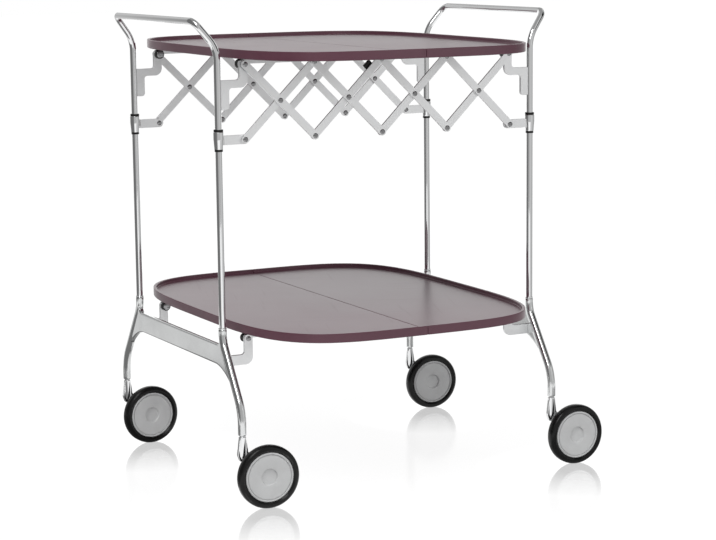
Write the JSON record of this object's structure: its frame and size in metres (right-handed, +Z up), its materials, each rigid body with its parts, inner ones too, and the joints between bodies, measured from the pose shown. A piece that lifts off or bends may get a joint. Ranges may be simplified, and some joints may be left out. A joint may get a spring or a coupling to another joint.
{
  "type": "folding serving trolley",
  "caption": "Folding serving trolley with an upper and a lower tray between tubular end frames on swivel castors, joined by front and rear scissor linkages.",
  "frame": {"origin": "on the floor, under the middle of the trolley's outer box", "axes": "+X from the left end frame to the right one, +Y from the front to the rear, +Z up"},
  "size_m": [0.671, 0.648, 0.7383],
  "materials": {
    "cast_aluminium": "satin, lightly polished",
    "chrome": "bright plated",
    "satin_steel": "satin grey",
    "pin_steel": "plain",
    "tray_plastic": "smooth, dark plum",
    "black_plastic": "matte",
    "wheel_plastic": "smooth, pale grey",
    "tyre_rubber": "smooth"
  },
  "bodies": {
    "left_frame": {"left_casting": "cast_aluminium", "left_handle_tube": "chrome", "left_ring_nuts": "chrome", "left_top_brackets": "satin_steel", "left_low_brackets": "satin_steel", "left_hinge_pins": "pin_steel"},
    "left_collar_pair": {"left_collars": "chrome", "left_collar_rings": "black_plastic"},
    "right_frame": {"right_casting": "cast_aluminium", "right_handle_tube": "chrome", "right_ring_nuts": "chrome", "right_top_brackets": "satin_steel", "right_low_brackets": "satin_steel", "right_hinge_pins": "pin_steel"},
    "right_collar_pair": {"right_collars": "chrome", "right_collar_rings": "black_plastic"},
    "falling_link_1": {"falling_bar_1": "satin_steel", "falling_rivets_1": "pin_steel"},
    "rising_link_1": {"rising_bar_1": "satin_steel", "rising_rivets_1": "pin_steel"},
    "falling_link_2": {"falling_bar_2": "satin_steel", "falling_rivets_2": "pin_steel"},
    "rising_link_2": {"rising_bar_2": "satin_steel", "rising_rivets_2": "pin_steel", "bar_buffer": "black_plastic"},
    "falling_link_3": {"falling_bar_3": "satin_steel", "falling_rivets_3": "pin_steel"},
    "rising_link_3": {"rising_bar_3": "satin_steel", "rising_rivets_3": "pin_steel"},
    "falling_link_4": {"falling_bar_4": "satin_steel", "falling_rivets_4": "pin_steel"},
    "rising_link_4": {"rising_bar_4": "satin_steel", "rising_rivets_4": "pin_steel"},
    "top_left_leaf": {"top_left_tray": "tray_plastic", "top_left_rails": "satin_steel", "top_left_bushes": "black_plastic", "top_middle_pins": "pin_steel"},
    "top_right_leaf": {"top_right_tray": "tray_plastic", "top_right_rails": "satin_steel", "top_right_bushes": "black_plastic"},
    "low_left_leaf": {"low_left_tray": "tray_plastic", "low_left_rails": "satin_steel", "low_left_bushes": "black_plastic", "low_middle_pins": "pin_steel"},
    "low_right_leaf": {"low_right_tray": "tray_plastic", "low_right_rails": "satin_steel", "low_right_bushes": "black_plastic"},
    "front_left_fork_set": {"front_left_fork": "chrome"},
    "front_left_wheel_set": {"front_left_wheel": "wheel_plastic", "front_left_tyre": "tyre_rubber"},
    "rear_left_fork_set": {"rear_left_fork": "chrome"},
    "rear_left_wheel_set": {"rear_left_wheel": "wheel_plastic", "rear_left_tyre": "tyre_rubber"},
    "front_right_fork_set": {"front_right_fork": "chrome"},
    "front_right_wheel_set": {"front_right_wheel": "wheel_plastic", "front_right_tyre": "tyre_rubber"},
    "rear_right_fork_set": {"rear_right_fork": "chrome"},
    "rear_right_wheel_set": {"rear_right_wheel": "wheel_plastic", "rear_right_tyre": "tyre_rubber"}
  },
  "joints": [
    {"name": "top_left_fold", "type": "hinge", "parent": "left_frame", "child": "top_left_leaf", "pos_m": [-0.25546, 0, 0.6672], "axis": [0, -1, 0], "range_deg": [0, 80.13]},
    {"name": "top_middle_fold", "type": "hinge", "parent": "top_left_leaf", "child": "top_right_leaf", "pos_m": [-0.02216, 0, 0.6672], "axis": [0, -1, 0], "range_deg": [-160.26, 0]},
    {"name": "top_right_fold", "type": "hinge", "parent": "top_right_leaf", "child": "right_frame", "pos_m": [0.21114, 0, 0.6672], "axis": [0, -1, 0], "range_deg": [0, 80.13]},
    {"name": "low_left_fold", "type": "hinge", "parent": "left_frame", "child": "low_left_leaf", "pos_m": [-0.25546, 0, 0.2457], "axis": [0, -1, 0], "range_deg": [0, 80.13]},
    {"name": "low_right_fold", "type": "hinge", "parent": "right_frame", "child": "low_right_leaf", "pos_m": [0.21114, 0, 0.2457], "axis": [0, -1, 0], "range_deg": [-80.13, 0]},
    {"name": "falling_link_1_turn", "type": "hinge", "parent": "left_frame", "child": "falling_link_1", "pos_m": [-0.25546, 0, 0.6672], "axis": [0, -1, 0], "range_deg": [-38.66, 0]},
    {"name": "cross_1_close", "type": "hinge", "parent": "falling_link_1", "child": "rising_link_1", "pos_m": [-0.19714, 0, 0.6103], "axis": [0, -1, 0], "range_deg": [0, 77.32]},
    {"name": "top_joint_1_close", "type": "hinge", "parent": "rising_link_1", "child": "falling_link_2", "pos_m": [-0.13881, 0, 0.6672], "axis": [0, -1, 0], "range_deg": [-77.32, 0]},
    {"name": "cross_2_close", "type": "hinge", "parent": "falling_link_2", "child": "rising_link_2", "pos_m": [-0.08049, 0, 0.6103], "axis": [0, -1, 0], "range_deg": [0, 77.32]},
    {"name": "left_collar_turn", "type": "hinge", "parent": "rising_link_1", "child": "left_collar_pair", "pos_m": [-0.25546, 0, 0.5534], "axis": [0, -1, 0], "range_deg": [-38.66, 0]},
    {"name": "rising_link_4_turn", "type": "hinge", "parent": "right_frame", "child": "rising_link_4", "pos_m": [0.21114, 0, 0.6672], "axis": [0, -1, 0], "range_deg": [0, 38.66]},
    {"name": "cross_4_close", "type": "hinge", "parent": "rising_link_4", "child": "falling_link_4", "pos_m": [0.15281, 0, 0.6103], "axis": [0, -1, 0], "range_deg": [-77.32, 0]},
    {"name": "top_joint_3_close", "type": "hinge", "parent": "falling_link_4", "child": "rising_link_3", "pos_m": [0.09449, 0, 0.6672], "axis": [0, -1, 0], "range_deg": [0, 77.32]},
    {"name": "cross_3_close", "type": "hinge", "parent": "rising_link_3", "child": "falling_link_3", "pos_m": [0.03616, 0, 0.6103], "axis": [0, -1, 0], "range_deg": [-77.32, 0]},
    {"name": "right_collar_turn", "type": "hinge", "parent": "falling_link_4", "child": "right_collar_pair", "pos_m": [0.21114, 0, 0.5534], "axis": [0, -1, 0], "range_deg": [0, 38.66]},
    {"name": "front_left_swivel", "type": "hinge", "parent": "left_frame", "child": "front_left_fork_set", "pos_m": [-0.29816, -0.24, 0.1], "axis": [0, 0, 1], "continuous": true},
    {"name": "front_left_spin", "type": "hinge", "parent": "front_left_fork_set", "child": "front_left_wheel_set", "pos_m": [-0.26664, -0.26225, 0.049], "axis": [-0.0698, -0.9976, 0], "continuous": true},
    {"name": "rear_left_swivel", "type": "hinge", "parent": "left_frame", "child": "rear_left_fork_set", "pos_m": [-0.29816, 0.24, 0.1], "axis": [0, 0, 1], "continuous": true},
    {"name": "rear_left_spin", "type": "hinge", "parent": "rear_left_fork_set", "child": "rear_left_wheel_set", "pos_m": [-0.26385, 0.22235, 0.049], "axis": [0.0698, -0.9976, 0], "continuous": true},
    {"name": "front_right_swivel", "type": "hinge", "parent": "right_frame", "child": "front_right_fork_set", "pos_m": [0.25384, -0.24, 0.1], "axis": [0, 0, 1], "continuous": true},
    {"name": "front_right_spin", "type": "hinge", "parent": "front_right_fork_set", "child": "front_right_wheel_set", "pos_m": [0.28648, -0.26057, 0.049], "axis": [-0.0175, -0.9998, 0], "continuous": true},
    {"name": "rear_right_swivel", "type": "hinge", "parent": "right_frame", "child": "rear_right_fork_set", "pos_m": [0.25384, 0.24, 0.1], "axis": [0, 0, 1], "continuous": true},
    {"name": "rear_right_spin", "type": "hinge", "parent": "rear_right_fork_set", "child": "rear_right_wheel_set", "pos_m": [0.28575, 0.2183, 0.049], "axis": [-0.0523, -0.9986, 0], "continuous": true}
  ],
  "couplings": [
    {"joint": "top_middle_fold", "follows": "top_left_fold", "ratio": -2},
    {"joint": "top_right_fold", "follows": "top_left_fold", "ratio": 1},
    {"joint": "low_left_fold", "follows": "top_left_fold", "ratio": 1},
    {"joint": "low_right_fold", "follows": "top_left_fold", "ratio": -1},
    {"joint": "falling_link_1_turn", "follows": "top_left_fold", "ratio": -0.48247},
    {"joint": "cross_1_close", "follows": "top_left_fold", "ratio": 0.96494},
    {"joint": "top_joint_1_close", "follows": "top_left_fold", "ratio": -0.96494},
    {"joint": "cross_2_close", "follows": "top_left_fold", "ratio": 0.96494},
    {"joint": "left_collar_turn", "follows": "top_left_fold", "ratio": -0.48247},
    {"joint": "rising_link_4_turn", "follows": "top_left_fold", "ratio": 0.48247},
    {"joint": "cross_4_close", "follows": "top_left_fold", "ratio": -0.96494},
    {"joint": "top_joint_3_close", "follows": "top_left_fold", "ratio": 0.96494},
    {"joint": "cross_3_close", "follows": "top_left_fold", "ratio": -0.96494},
    {"joint": "right_collar_turn", "follows": "top_left_fold", "ratio": 0.48247}
  ]
}
